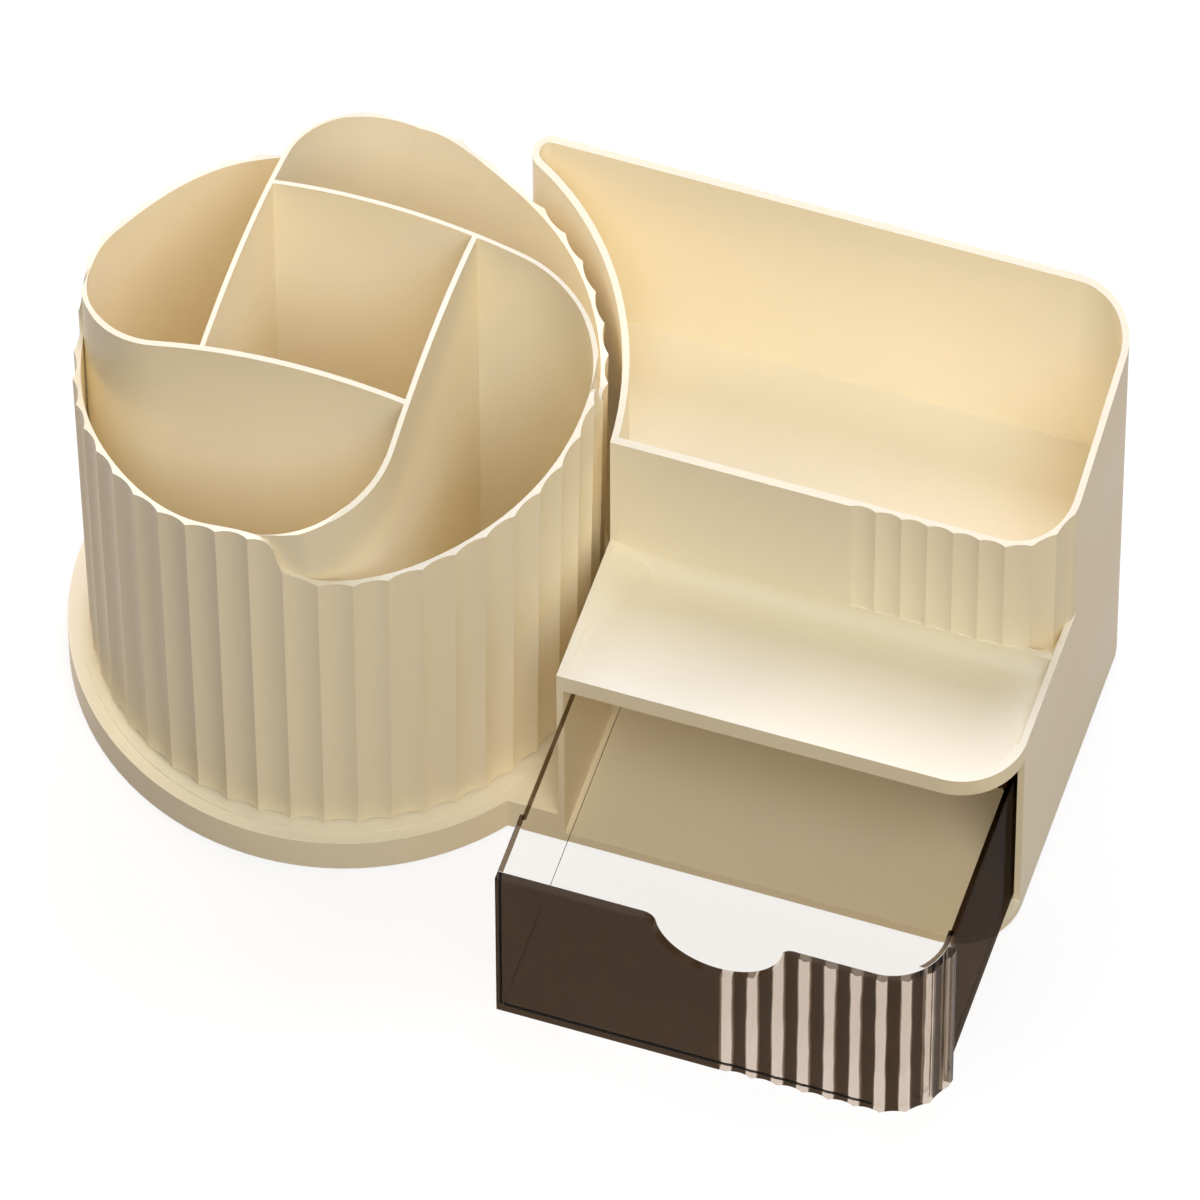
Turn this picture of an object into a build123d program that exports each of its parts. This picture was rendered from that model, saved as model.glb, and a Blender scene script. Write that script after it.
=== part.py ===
from build123d import *
from math import atan2, cos, degrees, radians, sin, sqrt
import os

# Makeup organizer: a turning cup with five compartments on a round platform,
# beside a box with a tall bin, an open shelf and a drawer.
# Millimetres. X runs along the box's front, Y to the back, Z up.
# The origin is on the cup's turning axis, at the table.

# Fits
RUNNING_FIT = 0.05
SCREW_FIT = 0.05
SEAT_FIT = 0.1
BODY_GAP = 0.3
DRAWER_GAP = 0.5
RETURN_GAP = 0.4

# Base moulding; the platform's radius places the cup's foot and the box beside it
FOOT_PROUD = 0.8
DISC_RADIUS = 66.0
DISC_TOP = 11.2
PLATFORM_MARGIN = 3.0
PLATFORM_STEP = 0.4
BASE_WALL = 2.4
BASE_RIB = 1.6
RIB_COUNT = 6
FLOOR_TOP = 4.0

# Box outline; its left wall runs just inside the platform's edge
DISC_OVERLAP = 0.7
BOX_WIDTH = 109.3
BOX_DEPTH = 105.5
BACK_PROUD = 0.2
BOX_CORNER = 16.0
NOSE_RADIUS = 4.0
WALL = 1.6

# Shelf and bin
SHELF_TOP = 68.8
SHELF_PLATE = 2.4
LIP_HEIGHT = 5.7
LIP_WALL = 2.4
BIN_FRONT = 1.0
BIN_FLOOR_TOP = 64.0
BIN_CORNER = 15.0
COVE_RADIUS = 4.0
RAMP_WIDTH = 10.0
RAMP_CREST = 1.2
RIM_FRONT_HEIGHT = 108.3
RIM_BACK_HEIGHT = 128.6
LEDGE_WIDTH = 2.5
LEDGE_DEPTH = 2.4

# Flutes of the bin and of the drawer, from a distance short of the box's right side
FLUTE_SPAN = 51.1
FLUTE_PITCH = 6.24
FLUTE_DEPTH = 0.7
FLUTE_COUNT = 9

# Cup
CUP_GAP = 0.8
CUP_MARGIN = 5.3
CUP_DRAFT = 0.0146
CUP_WALL = 1.9
CUP_FLUTES = 48
CUP_FLUTE_DEPTH = 1.0
CUP_FLUTE_START = -68.8
CUP_FLOOR = 2.0
DIVIDER_WALL = 1.2
SQUARE_HALF = 24.9
CURL_RADIUS = 24.2
DOME_TOP = 146.6
DOME_RADIUS = 119.0

# Rim of one petal on the cup's shell: degrees clockwise from its top, height
RIM_POINTS = (
    (0.0, 125.9), (15.0, 121.6), (45.0, 116.0), (72.0, 111.2), (79.0, 111.9),
    (83.5, 114.9), (85.4, 120.0), (87.3, 125.0),
)
# The curled wall leaves the dome and falls to the rim's top: height against degrees
CURL_SLOPE = 0.28
CURL_RISE = 0.0045
CURL_SPAN = (-6.0, 31.0)
# Band of radii that the rim's and the curls' cutting surfaces span
RIM_BAND = 10.0
CURL_BAND = 20.0

# Bearing and pivot
BALL_RADIUS = 2.5
BALL_COUNT = 12
BALL_RING = 40.0
GROOVE_DEPTH = 1.0
CAGE_WIDTH = 7.0
CAGE_THICKNESS = 1.6
CAGE_FIT = 0.15
PLATE_RADIUS = 50.0
PLATE_THICKNESS = 2.4
BOSS_HEIGHT = 4.0
BOSS_RADIUS = 3.5
BOSS_RING = 28.0
POST_RADIUS = 5.95
HUB_RADIUS = 12.5
CAVITY_RADIUS = 9.0
HUB_END = 5.0
WASHER_RADIUS = 7.5
WASHER_THICKNESS = 0.8

# Screws: shank radius, head radius, head height, length under the head
PLATE_SCREW = (1.2, 2.3, 1.2, 4.6)
PIVOT_SCREW = (1.5, 2.8, 1.6, 8.0)
SHELL_SCREW = (1.3, 2.2, 1.4, 10.0)
HEAD_CLEARANCE = 0.2
SHELL_BOSS_RADIUS = 3.2
BOSS_ROOT = 0.5
ARC_BOSSES = (35.0, 52.0)
BACK_BOSS_INSETS = (56.6, 16.6)

# Rubber pads
PAD_THICKNESS = 1.6
PAD_RADIUS = 5.0
PAD_BOSS_WALL = 1.5
CENTRE_PAD_RADIUS = 10.8
DISC_PAD_INSET = 12.0
DISC_PADS = (90.0, 210.0, 330.0)
BOX_PAD_INSET = 16.0

# Drawer, pulled out as photographed
DRAWER_OPEN = 52.0
DRAWER_TRAVEL = 82.0
PANEL_TOP = 59.3
PANEL_RETURN = 14.3
SCOOP_RADIUS = 15.5
SCOOP_SHOULDER = 3.0
TRAY_SHORT = 8.8
TRAY_WALL = 1.3
TRAY_TOP = 56.5
TRAY_SHOULDER = 19.0
TRAY_FLOOR = 1.2
CURVE_GRIP = 9.0
STOP_TAB_HEIGHT = 4.7
STOP_TAB_HALF = 26.0
STOP_BEAD_HALF = 22.0
STOP_BEAD_WIDTH = 2.4
STOP_BEAD_BITE = 2.2

# Worked out from the sizes above
PLATFORM_RADIUS = DISC_RADIUS - PLATFORM_MARGIN
CUP_FOOT_RADIUS = DISC_RADIUS - CUP_MARGIN
BOX_LEFT = DISC_RADIUS - DISC_OVERLAP
BOX_RIGHT = BOX_LEFT + BOX_WIDTH
BOX_BACK = DISC_RADIUS + BACK_PROUD
BOX_FRONT = BOX_BACK - BOX_DEPTH
FLUTE_START = BOX_RIGHT - FLUTE_SPAN
PLATFORM_TOP = DISC_TOP + PLATFORM_STEP
LIP_UNDERSIDE = SHELF_TOP - LIP_HEIGHT
DECK_UNDERSIDE = BIN_FLOOR_TOP - SHELF_PLATE
ARC_INNER = BOX_LEFT + WALL
NOTCH_RADIUS = ARC_INNER + SEAT_FIT
PANEL_WALL = WALL + DRAWER_GAP
MOUTH_BACK = BOX_FRONT + PANEL_RETURN + RETURN_GAP
TRAY_BACK = BOX_BACK - TRAY_SHORT
BALL_HEIGHT = PLATFORM_TOP - GROOVE_DEPTH + BALL_RADIUS
PLATE_BOTTOM = BALL_HEIGHT + BALL_RADIUS - GROOVE_DEPTH
PLATE_TOP = PLATE_BOTTOM + PLATE_THICKNESS
CUP_BOTTOM = PLATFORM_TOP + CUP_GAP
CUP_FLOOR_BOTTOM = PLATE_TOP + BOSS_HEIGHT
CUP_FLOOR_TOP = CUP_FLOOR_BOTTOM + CUP_FLOOR
CUP_STOCK_TOP = DOME_TOP + 4.0
RIM_HIGH = RIM_POINTS[0][1]
CUP_MOUTH = CUP_FOOT_RADIUS + CUP_DRAFT * (RIM_HIGH - CUP_BOTTOM) - CUP_WALL - SEAT_FIT
DRAWER_BOTTOM = FLOOR_TOP + BODY_GAP
PAD_SEAT = PAD_THICKNESS
POST_END = HUB_END - BODY_GAP
BOX_MIDDLE = (BOX_LEFT + WALL + DRAWER_GAP + BOX_RIGHT) / 2
BIG = 400.0


# Plane geometry
def on_circle(centre, radius, angle):
    """Point of a circle at an angle in degrees."""
    return (centre[0] + radius * cos(radians(angle)), centre[1] + radius * sin(radians(angle)))


def arc(centre, radius, start, end):
    """Arc of a circle between two angles in degrees."""
    middle = (start + end) / 2
    points = [on_circle(centre, radius, angle) for angle in (start, middle, end)]
    return ThreePointArc(*points)


def rectangle(x_low, x_high, y_low, y_high):
    """Upright rectangle in plan."""
    centre = Pos((x_low + x_high) / 2, (y_low + y_high) / 2)
    return centre * Rectangle(x_high - x_low, y_high - y_low)


def block(x_low, x_high, y_low, y_high, z_low, z_high):
    """Box between six coordinates."""
    middle = Pos((x_low + x_high) / 2, (y_low + y_high) / 2, (z_low + z_high) / 2)
    return middle * Box(x_high - x_low, y_high - y_low, z_high - z_low)


def prism(face, z_low, z_high):
    """Plan face raised between two heights."""
    return extrude(Pos(0, 0, z_low) * face, z_high - z_low)


def rod(centre, radius, z_low, z_high):
    """Upright cylinder between two heights."""
    return Pos(centre[0], centre[1], (z_low + z_high) / 2) * Cylinder(radius, z_high - z_low)


def ring_points(radius, count, start=0.0):
    """Points spaced evenly round the cup's axis."""
    return [on_circle((0, 0), radius, start + 360 / count * index) for index in range(count)]


def box_outline(inset=0.0):
    """Plan of the box: hollowed round the cup on the left, rounded corners on the right."""
    left = BOX_LEFT + inset
    right = BOX_RIGHT - inset
    front = BOX_FRONT + inset
    back = BOX_BACK - inset
    corner = BOX_CORNER - inset
    nose = NOSE_RADIUS - inset
    nose_y = BOX_BACK - NOSE_RADIUS
    nose_x = sqrt((BOX_LEFT + NOSE_RADIUS) ** 2 - nose_y ** 2)
    nose_angle = degrees(atan2(nose_y, nose_x))
    corner_x = BOX_RIGHT - BOX_CORNER
    back_y = BOX_BACK - BOX_CORNER
    front_y = BOX_FRONT + BOX_CORNER
    edges = [
        Line((left, front), (left, 0)),
        arc((0, 0), left, 0, nose_angle),
        arc((nose_x, nose_y), nose, nose_angle + 180, 90),
        Line((nose_x, back), (corner_x, back)),
        arc((corner_x, back_y), corner, 90, 0),
        Line((right, back_y), (right, front_y)),
        arc((corner_x, front_y), corner, 0, -90),
        Line((corner_x, front), (left, front)),
    ]
    return make_face(edges)


def front_point(distance, front, corner, depth=0.0):
    """Point of a front outline: along the flat, then round its right corner.

    The distance is measured from where the flutes start, and the depth goes inwards."""
    corner_x = BOX_RIGHT - corner
    flat = corner_x - FLUTE_START
    if distance <= flat:
        return (FLUTE_START + distance, front + depth)
    angle = -90 + degrees((distance - flat) / corner)
    return on_circle((corner_x, front + corner), corner - depth, angle)


def fluted_front(left, front, corner, wall):
    """Plan of a front wall: plain on the left, hollow flutes on the right, one round corner."""
    corner_x = BOX_RIGHT - corner
    corner_y = front + corner
    edges = [Line((left, front), (FLUTE_START, front))]
    for index in range(FLUTE_COUNT):
        near = index * FLUTE_PITCH
        far = near + FLUTE_PITCH
        cusp = front_point(near, front, corner)
        valley = front_point((near + far) / 2, front, corner, FLUTE_DEPTH)
        edges.append(ThreePointArc(cusp, valley, front_point(far, front, corner)))
    last_angle = -90 + degrees((FLUTE_COUNT * FLUTE_PITCH - corner_x + FLUTE_START) / corner)
    edges.append(arc((corner_x, corner_y), corner, last_angle, 0))
    edges.append(Line((BOX_RIGHT, corner_y), (BOX_RIGHT - wall, corner_y)))
    edges.append(arc((corner_x, corner_y), corner - wall, 0, -90))
    edges.append(Line((corner_x, front + wall), (left, front + wall)))
    edges.append(Line((left, front + wall), (left, front)))
    return make_face(edges)


def boss_centres():
    """Places of the screw posts: two against the hollowed wall, two against the back wall."""
    reach = ARC_INNER + SHELL_BOSS_RADIUS - BOSS_ROOT
    back_y = BOX_BACK - WALL - SHELL_BOSS_RADIUS + BOSS_ROOT
    by_the_cup = [on_circle((0, 0), reach, angle) for angle in ARC_BOSSES]
    return by_the_cup + [(BOX_RIGHT - inset, back_y) for inset in BACK_BOSS_INSETS]


# Base
def foot_walls():
    """Plan of the box walls where they reach the table."""
    walls = box_outline() - box_outline(WALL)
    mouth = rectangle(BOX_LEFT + WALL, BIG, -BIG, MOUTH_BACK)
    return walls - mouth - Circle(NOTCH_RADIUS)


def pad_recess(centre, radius):
    """Hollow in the underside that a rubber pad is glued into."""
    return rod(centre, radius + SEAT_FIT, FOOT_PROUD - 1, PAD_SEAT)


def platform():
    """Hollow round platform under the cup, with its ribs and hub."""
    plate_under = DISC_TOP - BASE_WALL
    disc = rod((0, 0), DISC_RADIUS, FOOT_PROUD, DISC_TOP)
    disc -= rod((0, 0), DISC_RADIUS - BASE_WALL, FOOT_PROUD - 1, plate_under)
    disc += rod((0, 0), PLATFORM_RADIUS, plate_under, PLATFORM_TOP)
    reach = DISC_RADIUS - BASE_WALL / 2
    for index in range(RIB_COUNT):
        rib = block(0, reach, -BASE_RIB / 2, BASE_RIB / 2, FLOOR_TOP, plate_under)
        disc += Rot(0, 0, 360 / RIB_COUNT * (index + 0.5)) * rib
    disc += rod((0, 0), HUB_RADIUS, FOOT_PROUD, plate_under)
    for centre in pad_centres_disc():
        disc += rod(centre, PAD_RADIUS + PAD_BOSS_WALL, FOOT_PROUD, plate_under)
    return disc


def corner_wedge():
    """Hollow fill between the platform and the box's left wall, at the front."""
    fill = block(0, BOX_LEFT, BOX_FRONT, 0, FOOT_PROUD, DISC_TOP)
    fill -= block(-1, BOX_LEFT - BASE_WALL, BOX_FRONT + BASE_WALL, 1,
                  FOOT_PROUD - 1, DISC_TOP - BASE_WALL)
    return fill - rod((0, 0), DISC_RADIUS - BASE_WALL / 2, 0, DISC_TOP + 1)


def pad_centres_disc():
    """Places of the small pads under the platform."""
    ring = DISC_RADIUS - DISC_PAD_INSET
    return [on_circle((0, 0), ring, angle) for angle in DISC_PADS]


def pad_centres_box():
    """Places of the small pads under the box, near its four corners."""
    places = []
    for y in (BOX_FRONT + BOX_PAD_INSET, BOX_BACK - BOX_PAD_INSET):
        for x in (BOX_LEFT + BOX_PAD_INSET, BOX_RIGHT - BOX_PAD_INSET):
            places.append((x, y))
    return places


def base_moulding():
    """Platform, wedge and box floor in one piece."""
    floor = prism(box_outline() - foot_walls(), FOOT_PROUD, FLOOR_TOP)
    floor -= rod((0, 0), DISC_RADIUS - BASE_WALL / 2, FOOT_PROUD - 1, FLOOR_TOP + 1)
    base = platform() + corner_wedge() + floor
    groove = Pos(0, 0, BALL_HEIGHT) * Torus(BALL_RING, BALL_RADIUS + RUNNING_FIT)
    base -= groove
    base -= rod((0, 0), POST_RADIUS + RUNNING_FIT, 0, PLATFORM_TOP + 1)
    base -= rod((0, 0), CAVITY_RADIUS, 0, HUB_END)
    base -= pad_recess((0, 0), CENTRE_PAD_RADIUS)
    for centre in pad_centres_disc() + pad_centres_box():
        base -= pad_recess(centre, PAD_RADIUS)
    shank, head, head_height, length = SHELL_SCREW
    for centre in boss_centres():
        base -= rod(centre, head + HEAD_CLEARANCE, 0, FOOT_PROUD + HEAD_CLEARANCE + head_height)
        base -= rod(centre, shank + SCREW_FIT, 0, FLOOR_TOP + 1)
    return base


# Box
def rim_cutter():
    """Everything above the bin's rim, which climbs to the back."""
    slope = (RIM_BACK_HEIGHT - RIM_FRONT_HEIGHT) / (BOX_BACK - BIN_FRONT)
    near = RIM_FRONT_HEIGHT - slope * BIG
    far = RIM_FRONT_HEIGHT + slope * BIG
    side = make_face(Polyline(
        (BIN_FRONT - BIG, near), (BIN_FRONT + BIG, far),
        (BIN_FRONT + BIG, far + BIG), (BIN_FRONT - BIG, far + BIG), close=True))
    return extrude(Plane.YZ * side, BIG, both=True)


def side_wall_reach():
    """Space of the two low side walls: the shelf covers the left one and lies inside the right one."""
    right = block(BOX_RIGHT - WALL, BIG, MOUTH_BACK, BIN_FRONT + BIN_CORNER, -BIG, SHELF_TOP)
    left = block(0, ARC_INNER, -BIG, BIN_FRONT, -BIG, LIP_UNDERSIDE)
    return right + left


def shell_screw_bosses():
    """Posts inside the box that take the screws from below."""
    shank, head, head_height, length = SHELL_SCREW
    screw_end = FOOT_PROUD + HEAD_CLEARANCE + head_height + length
    posts = Part()
    for centre in boss_centres():
        post = rod(centre, SHELL_BOSS_RADIUS, FLOOR_TOP, DECK_UNDERSIDE)
        posts += post - rod(centre, shank + SCREW_FIT, 0, screw_end + 1)
    return posts


def deck_ledges():
    """Steps inside the walls that carry the shelf and bin moulding."""
    low = DECK_UNDERSIDE - LEDGE_DEPTH
    corner_y = BOX_BACK - BOX_CORNER
    right = block(BOX_RIGHT - WALL - LEDGE_WIDTH, BOX_RIGHT - WALL / 2, BIN_FRONT, corner_y,
                  low, DECK_UNDERSIDE)
    back = block(BOX_LEFT, BOX_RIGHT - BOX_CORNER, BOX_BACK - WALL - LEDGE_WIDTH,
                 BOX_BACK - WALL / 2, low, DECK_UNDERSIDE)
    ring = Circle(ARC_INNER + LEDGE_WIDTH) - Circle(ARC_INNER - WALL / 2)
    sector = make_face(Polyline((0, 0), on_circle((0, 0), BIG, 5), on_circle((0, 0), BIG, 50),
                                close=True))
    left = prism(ring & sector, low, DECK_UNDERSIDE)
    return right + back + left


def body_shell():
    """Outer walls of the box, with the screw posts and ledges."""
    walls = prism(box_outline() - box_outline(WALL), FOOT_PROUD, RIM_BACK_HEIGHT + 1)
    walls -= rim_cutter()
    walls -= block(BOX_LEFT + WALL, BIG, -BIG, MOUTH_BACK, -BIG, BIG)
    walls -= block(0, BOX_LEFT + BOX_WIDTH / 2, -BIG, BIN_FRONT, LIP_UNDERSIDE, BIG)
    walls -= block(BOX_LEFT + BOX_WIDTH / 2, BIG, -BIG, BIN_FRONT + BIN_CORNER, SHELF_TOP, BIG)
    walls += deck_ledges() + shell_screw_bosses()
    return walls - rod((0, 0), NOTCH_RADIUS, 0, DISC_TOP)


def shelf_section():
    """Side view of the shelf plate and the cove at the bin's foot, drawn as Y and Z."""
    cove_y = BIN_FRONT - COVE_RADIUS
    cove_z = BIN_FLOOR_TOP + COVE_RADIUS
    deep = BIN_FRONT + WALL
    front_y = BOX_FRONT + LIP_WALL
    edges = [
        Line((BOX_FRONT, SHELF_TOP), (front_y, SHELF_TOP)),
        Line((front_y, SHELF_TOP), (cove_y, BIN_FLOOR_TOP)),
        arc((cove_y, cove_z), COVE_RADIUS, -90, 0),
        Line((BIN_FRONT, cove_z), (deep, cove_z)),
        Line((deep, cove_z), (deep, DECK_UNDERSIDE)),
        Line((deep, DECK_UNDERSIDE), (cove_y, DECK_UNDERSIDE)),
        Line((cove_y, DECK_UNDERSIDE), (front_y, SHELF_TOP - SHELF_PLATE)),
        Line((front_y, SHELF_TOP - SHELF_PLATE), (BOX_FRONT, SHELF_TOP - SHELF_PLATE)),
        Line((BOX_FRONT, SHELF_TOP - SHELF_PLATE), (BOX_FRONT, SHELF_TOP)),
    ]
    return make_face(edges)


def shelf_plate():
    """Sloping shelf with its front lip and the ramp up to its left edge."""
    plate = extrude(Plane.YZ * shelf_section(), BIG)
    lip_plan = (box_outline() - box_outline(LIP_WALL)) & rectangle(0, BIG, -BIG, MOUTH_BACK)
    lip = prism(lip_plan, LIP_UNDERSIDE, SHELF_TOP)
    edge = BOX_LEFT + RAMP_CREST
    ramp_plan = make_face(Polyline(
        (BOX_LEFT, LIP_UNDERSIDE), (BOX_LEFT, SHELF_TOP), (edge, SHELF_TOP),
        (edge + RAMP_WIDTH, BIN_FLOOR_TOP), (edge + RAMP_WIDTH, LIP_UNDERSIDE), close=True))
    ramp = extrude(Plane.XZ * ramp_plan, BIG, both=True)
    ramp &= block(0, BIG, BOX_FRONT, BIN_FRONT, 0, BIG)
    reach = prism(box_outline() & rectangle(0, BIG, -BIG, BIN_FRONT + WALL), 0, BIG)
    return (plate & reach) + lip + ramp


def bin_front():
    """Fluted front wall of the bin with its round right corner."""
    plan = fluted_front(ARC_INNER, BIN_FRONT, BIN_CORNER, WALL)
    return prism(plan, DECK_UNDERSIDE, RIM_BACK_HEIGHT + 1) - rim_cutter()


def stop_bead():
    """Bead under the shelf that stops the drawer from falling out."""
    back = TRAY_BACK - TRAY_WALL - DRAWER_TRAVEL - BODY_GAP
    low = TRAY_TOP + STOP_TAB_HEIGHT - STOP_BEAD_BITE
    return block(BOX_MIDDLE - STOP_BEAD_HALF, BOX_MIDDLE + STOP_BEAD_HALF,
                 back - STOP_BEAD_WIDTH, back, low, SHELF_TOP - SHELF_PLATE)


def shelf_deck():
    """Shelf, bin floor and bin front in one piece, set in between the walls."""
    floor_plan = box_outline(WALL) & rectangle(0, BIG, BIN_FRONT, BIG)
    floor = prism(floor_plan, DECK_UNDERSIDE, BIN_FLOOR_TOP)
    deck = shelf_plate() + floor + bin_front() + stop_bead()
    tall_walls = prism(box_outline() - box_outline(WALL), BIN_FLOOR_TOP - BIG, BIG)
    tall_walls &= block(0, ARC_INNER + 1, BIN_FRONT, BIG, -BIG, BIG)
    return deck - side_wall_reach() - tall_walls


# Cup
def cup_radius(height):
    """Radius of the flutes' edges at a height."""
    return CUP_FOOT_RADIUS + CUP_DRAFT * (height - CUP_BOTTOM)


def fluted_ring(height):
    """Closed outline of the cup's flutes at a height."""
    radius = cup_radius(height)
    step = 360 / CUP_FLUTES
    edges = []
    for index in range(CUP_FLUTES):
        start = CUP_FLUTE_START + step * index
        cusp = on_circle((0, 0), radius, start)
        valley = on_circle((0, 0), radius - CUP_FLUTE_DEPTH, start + step / 2)
        edges.append(ThreePointArc(cusp, valley, on_circle((0, 0), radius, start + step)))
    return Pos(0, 0, height) * make_face(edges)


def cup_cone(inset, z_low, z_high):
    """Solid inside the cup's wall, following its draft."""
    low = cup_radius(z_low) - inset
    high = cup_radius(z_high) - inset
    return Pos(0, 0, (z_low + z_high) / 2) * Cone(low, high, z_high - z_low)


def rim_ring(radius):
    """Closed curve of the cup's rim, carried to a radius."""
    points = []
    for petal in range(4):
        for angle, height in RIM_POINTS:
            x, y = on_circle((0, 0), radius, -90 * petal - angle)
            points.append((x, y, height))
    return Spline(*points, periodic=True)


def cup_rim_cutter():
    """Everything above the cup's curling rim."""
    inner = rim_ring(CUP_FOOT_RADIUS - RIM_BAND)
    outer = rim_ring(CUP_FOOT_RADIUS + RIM_BAND)
    surface = Face.make_surface_from_curves(inner, outer)
    return Solid.extrude(surface, Vector(0, 0, CUP_STOCK_TOP))


def cup_shell():
    """Fluted outer shell of the cup with its raised floor."""
    shell = loft([fluted_ring(CUP_BOTTOM), fluted_ring(CUP_STOCK_TOP)], ruled=True)
    shell -= cup_cone(CUP_WALL, CUP_FLOOR_TOP, CUP_STOCK_TOP + 1)
    shell -= cup_cone(CUP_WALL, CUP_BOTTOM - 1, CUP_FLOOR_BOTTOM)
    shell -= cup_rim_cutter()
    shank, head, head_height, length = PLATE_SCREW
    for centre in ring_points(BOSS_RING, 4, 45):
        boss = rod(centre, BOSS_RADIUS, PLATE_TOP, CUP_FLOOR_BOTTOM)
        shell += boss
        shell -= rod(centre, shank + SCREW_FIT, PLATE_TOP - 1, CUP_FLOOR_BOTTOM + SEAT_FIT)
    return shell


def curled_wall():
    """Plan of one divider wall: a side of the middle square, run on into a curl."""
    inner_x = SQUARE_HALF - DIVIDER_WALL / 2
    tangent = CUP_MOUTH - CURL_RADIUS
    centre_x = inner_x - CURL_RADIUS
    centre_y = -sqrt(tangent ** 2 - centre_x ** 2)
    centre = (centre_x, centre_y)
    inner = make_face([
        Line((inner_x, SQUARE_HALF), (inner_x, centre_y)),
        arc(centre, CURL_RADIUS, 0, -100),
        Line(on_circle(centre, CURL_RADIUS, -100), (-SQUARE_HALF, SQUARE_HALF)),
        Line((-SQUARE_HALF, SQUARE_HALF), (inner_x, SQUARE_HALF)),
    ])
    outer_x = inner_x + DIVIDER_WALL
    outer_radius = CURL_RADIUS + DIVIDER_WALL
    outer = make_face([
        Line((outer_x, SQUARE_HALF + DIVIDER_WALL / 2), (outer_x, centre_y)),
        arc(centre, outer_radius, 0, -90),
        Line(on_circle(centre, outer_radius, -90), (centre_x, centre_y)),
        Line((centre_x, centre_y), (inner_x - DIVIDER_WALL, SQUARE_HALF + DIVIDER_WALL / 2)),
        Line((inner_x - DIVIDER_WALL, SQUARE_HALF + DIVIDER_WALL / 2),
             (outer_x, SQUARE_HALF + DIVIDER_WALL / 2)),
    ])
    return outer - inner


def curl_top_cutter():
    """Everything above the curled wall's fall from the dome to the rim."""
    start, end = CURL_SPAN
    steps = 6
    edges = []
    for radius in (CUP_FOOT_RADIUS - CURL_BAND, CUP_FOOT_RADIUS + RIM_BAND):
        points = []
        for index in range(steps + 1):
            angle = start + (end - start) * index / steps
            height = RIM_HIGH + CURL_SLOPE * angle + CURL_RISE * angle ** 2
            x, y = on_circle((0, 0), radius, -90 + angle)
            points.append((x, y, height))
        edges.append(Spline(*points))
    surface = Face.make_surface_from_curves(*edges)
    return Solid.extrude(surface, Vector(0, 0, CUP_STOCK_TOP))


def cup_divider():
    """Five-way divider: a square with four curled walls, domed on top."""
    wall = prism(curled_wall(), CUP_FLOOR_TOP, CUP_STOCK_TOP) - curl_top_cutter()
    divider = Part()
    for quarter in range(4):
        divider += Rot(0, 0, 90 * quarter) * wall
    divider &= Pos(0, 0, DOME_TOP - DOME_RADIUS) * Sphere(DOME_RADIUS)
    return divider & cup_cone(CUP_WALL + SEAT_FIT, CUP_FLOOR_TOP, CUP_STOCK_TOP)


# Bearing and pivot
def turntable_plate():
    """Disc under the cup with the upper ball track and the pivot post."""
    plate = rod((0, 0), PLATE_RADIUS, PLATE_BOTTOM, PLATE_TOP)
    plate -= Pos(0, 0, BALL_HEIGHT) * Torus(BALL_RING, BALL_RADIUS + RUNNING_FIT)
    shank, head, head_height, length = PLATE_SCREW
    for centre in ring_points(BOSS_RING, 4, 45):
        plate -= rod(centre, head + HEAD_CLEARANCE, PLATE_BOTTOM - 1, PLATE_BOTTOM + head_height)
        plate -= rod(centre, shank + SCREW_FIT, PLATE_BOTTOM, PLATE_TOP + 1)
    plate += rod((0, 0), POST_RADIUS, POST_END, PLATE_BOTTOM)
    pivot_shank, pivot_head, pivot_height, pivot_length = PIVOT_SCREW
    pilot_end = POST_END - WASHER_THICKNESS + pivot_length + 1
    return plate - rod((0, 0), pivot_shank + SCREW_FIT, 0, pilot_end)


def screw(sizes, centre, head_bottom):
    """Screw that points up, with a cross recess in its head."""
    shank, head, head_height, length = sizes
    seat = head_bottom + head_height
    body = rod(centre, head, head_bottom, seat) + rod(centre, shank, seat, seat + length)
    bar = Box(head * 1.2, head * 0.3, head_height)
    cross = bar + Rot(0, 0, 90) * bar
    return body - Pos(centre[0], centre[1], head_bottom) * cross


def turntable_screws():
    """Four screws that hold the turntable plate to the cup."""
    return Part(children=[screw(PLATE_SCREW, centre, PLATE_BOTTOM)
                          for centre in ring_points(BOSS_RING, 4, 45)])


def pivot_washer():
    """Washer that keeps the post from lifting out of the hub."""
    top = POST_END
    washer = rod((0, 0), WASHER_RADIUS, top - WASHER_THICKNESS, top)
    return washer - rod((0, 0), PIVOT_SCREW[0] + SCREW_FIT, 0, top + 1)


def pivot_screw():
    """Screw up the middle of the post."""
    return screw(PIVOT_SCREW, (0, 0), POST_END - WASHER_THICKNESS - PIVOT_SCREW[2])


def ball_cage():
    """Flat ring that spaces the balls."""
    low = BALL_HEIGHT - CAGE_THICKNESS / 2
    high = BALL_HEIGHT + CAGE_THICKNESS / 2
    cage = rod((0, 0), BALL_RING + CAGE_WIDTH / 2, low, high)
    cage -= rod((0, 0), BALL_RING - CAGE_WIDTH / 2, low - 1, high + 1)
    for centre in ring_points(BALL_RING, BALL_COUNT):
        cage -= rod(centre, BALL_RADIUS + CAGE_FIT, low - 1, high + 1)
    return cage


def bearing_balls():
    """Steel balls between the platform and the turntable plate."""
    return Part(children=[Pos(x, y, BALL_HEIGHT) * Sphere(BALL_RADIUS)
                          for x, y in ring_points(BALL_RING, BALL_COUNT)])


# Fasteners and pads of the box
def shell_screws():
    """Four screws that hold the walls to the base."""
    return Part(children=[screw(SHELL_SCREW, centre, FOOT_PROUD + HEAD_CLEARANCE)
                          for centre in boss_centres()])


def rubber_pad(centre, radius):
    """Round rubber pad, with its underside on the table."""
    return rod(centre, radius, 0, PAD_SEAT)


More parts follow.
